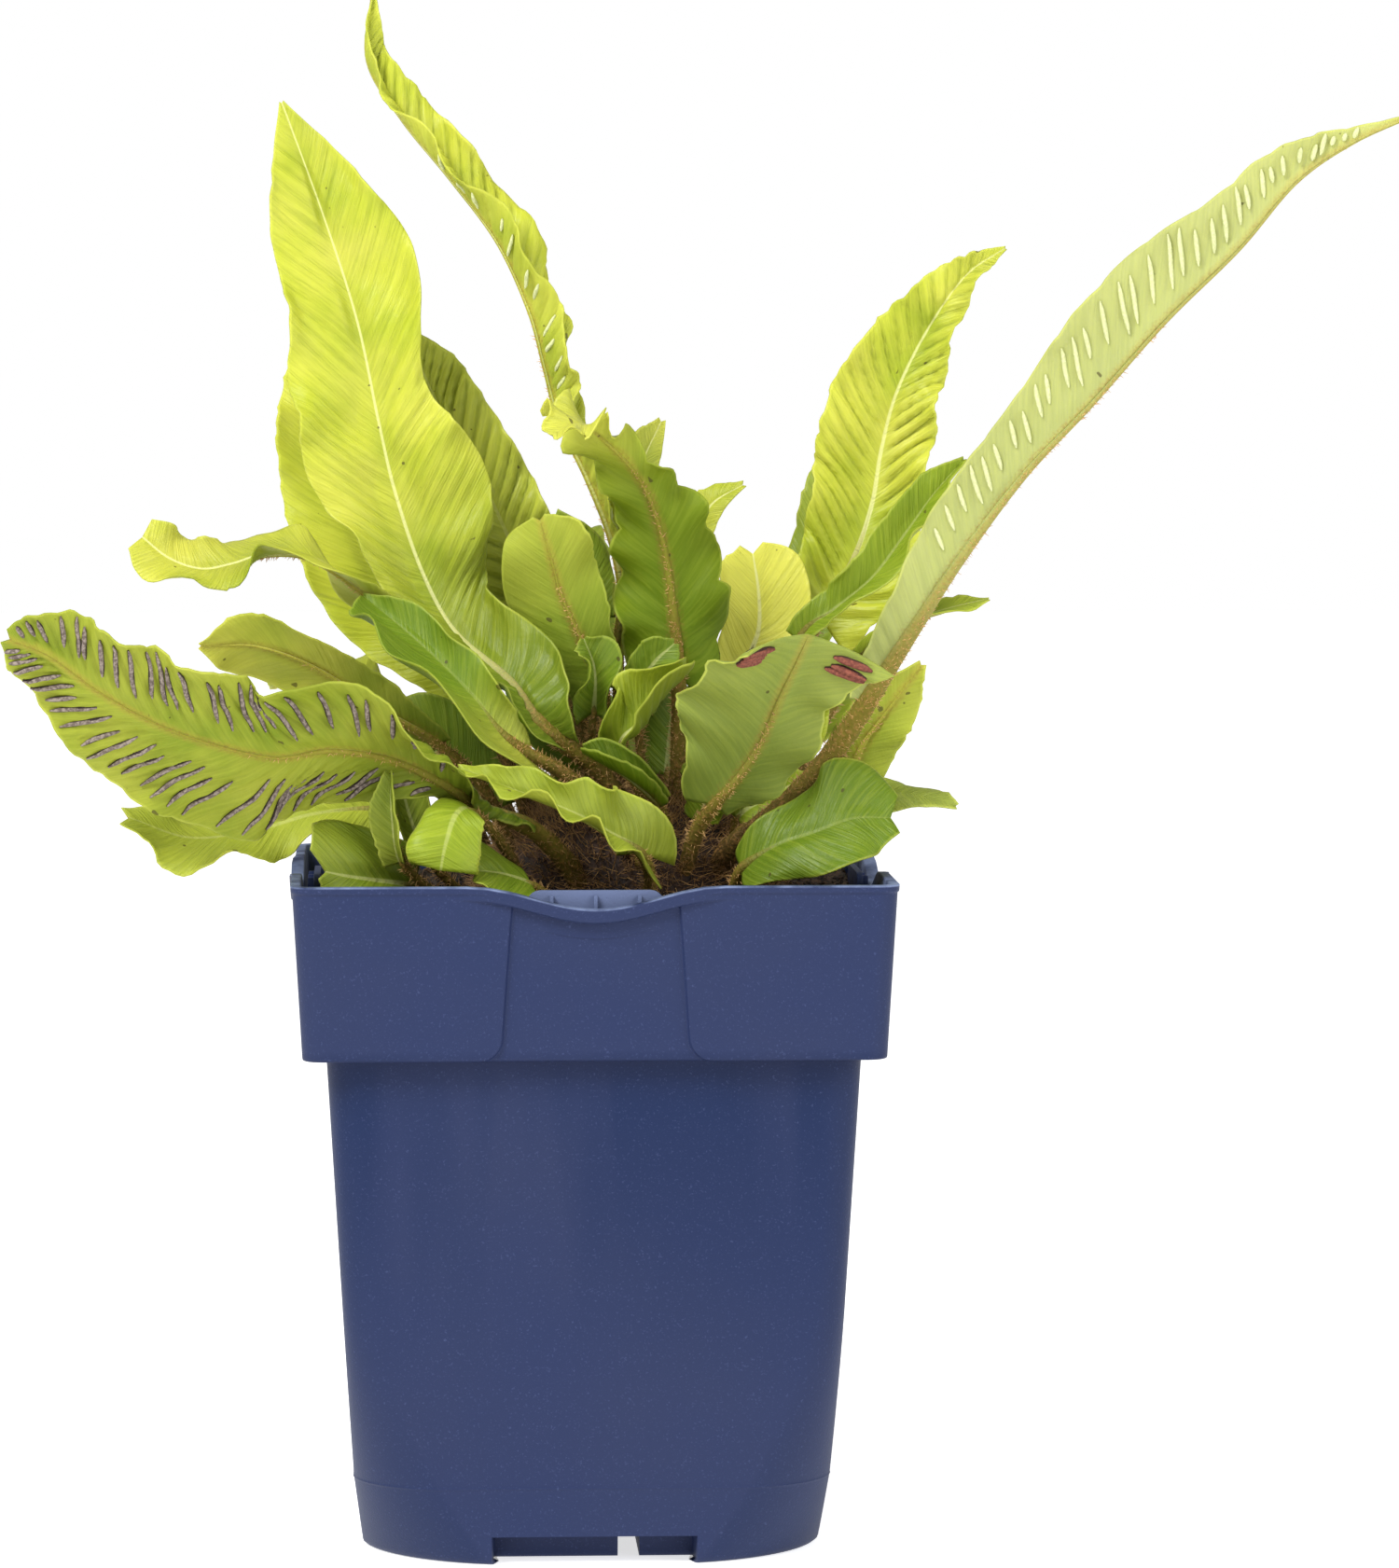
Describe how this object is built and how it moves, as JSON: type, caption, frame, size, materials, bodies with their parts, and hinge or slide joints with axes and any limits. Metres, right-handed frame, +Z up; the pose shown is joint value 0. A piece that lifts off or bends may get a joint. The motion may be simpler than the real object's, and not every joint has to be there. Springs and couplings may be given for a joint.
{
  "type": "potted hart's-tongue fern",
  "caption": "Fern with long, wavy, undivided strap-shaped fronds on scaly stalks, radiating from a crown in a square tapered nursery pot.",
  "frame": {"origin": "middle of the pot's foot, on the surface that it stands on", "axes": "+Z up; the pot's sides are square to X and Y; the side seen first faces -Y"},
  "size_m": [0.2553, 0.1459, 0.2904],
  "materials": {
    "pot": "satin moulded dusty blue plastic with fine pale specks, worn lighter at the edges",
    "soil": "dark moist potting soil of peat, bark and fibre",
    "crown": "rhizome covered with reddish-brown scales and old stalk bases",
    "leaf_fresh": "glossy yellow-green leathery blade with forking veins, pale rib, scaly stalk",
    "leaf_mid": "mid green leathery blade, matte below with linear sori, scaly stalk",
    "leaf_deep": "deep green glossy blade with wavy pale margin, scaly stalk",
    "leaf_dull": "matte olive underside, pale rib, scaly stalk"
  },
  "bodies": {
    "root": {"pot": "pot", "soil": "soil", "crown": "crown", "frond_tall_left": "leaf_fresh", "frond_back_left": "leaf_fresh", "frond_glossy_left": "leaf_mid", "frond_strap_left": "leaf_fresh", "frond_spoon_left": "leaf_deep", "frond_pale_left": "leaf_dull", "frond_spored_left": "leaf_mid", "frond_wavy_left": "leaf_mid", "frond_rim_left": "leaf_mid", "frond_folded_left": "leaf_dull", "frond_pleated_left": "leaf_dull", "frond_cut_left": "leaf_mid", "frond_rim_front": "leaf_deep", "frond_cut_front": "leaf_mid", "frond_upright_front": "leaf_mid", "frond_strip_front": "leaf_mid", "frond_channelled_front": "leaf_deep", "frond_bright_front": "leaf_fresh", "frond_centre": "leaf_deep", "frond_folded_tall": "leaf_fresh", "frond_pale_tip": "leaf_dull", "frond_yellow_tip": "leaf_fresh", "frond_round_centre": "leaf_dull", "frond_inner_left": "leaf_deep", "frond_inner_centre": "leaf_deep", "frond_inner_right": "leaf_deep", "frond_scalloped_centre": "leaf_deep", "frond_twisted_centre": "leaf_deep", "frond_dark_centre": "leaf_deep", "frond_right_upright": "leaf_fresh", "frond_channelled_right": "leaf_mid", "frond_right_long": "leaf_mid", "frond_broad_front": "leaf_dull", "frond_patch_right": "leaf_fresh", "frond_pale_right": "leaf_dull", "frond_pointed_right": "leaf_dull", "frond_tip_right": "leaf_mid", "frond_low_right": "leaf_deep", "frond_bright_right": "leaf_fresh", "frond_round_right": "leaf_fresh", "frond_back_1": "leaf_mid", "frond_back_2": "leaf_deep", "frond_back_3": "leaf_mid", "frond_back_4": "leaf_deep", "frond_back_5": "leaf_mid", "frond_back_6": "leaf_fresh", "frond_back_7": "leaf_mid", "frond_back_8": "leaf_mid", "frond_back_9": "leaf_deep"}
  },
  "joints": []
}
